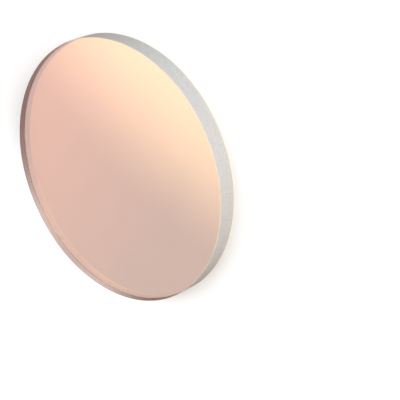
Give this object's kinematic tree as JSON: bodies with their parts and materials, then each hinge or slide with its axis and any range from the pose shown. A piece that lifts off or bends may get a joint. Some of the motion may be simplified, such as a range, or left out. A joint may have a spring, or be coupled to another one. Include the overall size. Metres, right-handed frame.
{
  "type": "spherical mirror",
  "caption": "Round glass mirror disc: a shallow concave face with a warm see-through coating below, a flat polished face above, and a fine-ground rim with hair-thin bevels.",
  "frame": {"origin": "centre of the ring on which the disc lies, which is the edge of the concave coated face", "axes": "+Z along the optical axis, out of the flat face; the concave face looks along -Z. X and Y lie in the plane of the ring, with no marked direction because the disc is round"},
  "size_m": [0.05, 0.05, 0.0036],
  "materials": {
    "coated_glass": "polished faces, the concave one under a thin peach-coloured coating that reflects part of the light; fine-ground matt rim and bevels"
  },
  "bodies": {
    "root": {"mirror_disc": "coated_glass"}
  },
  "joints": []
}
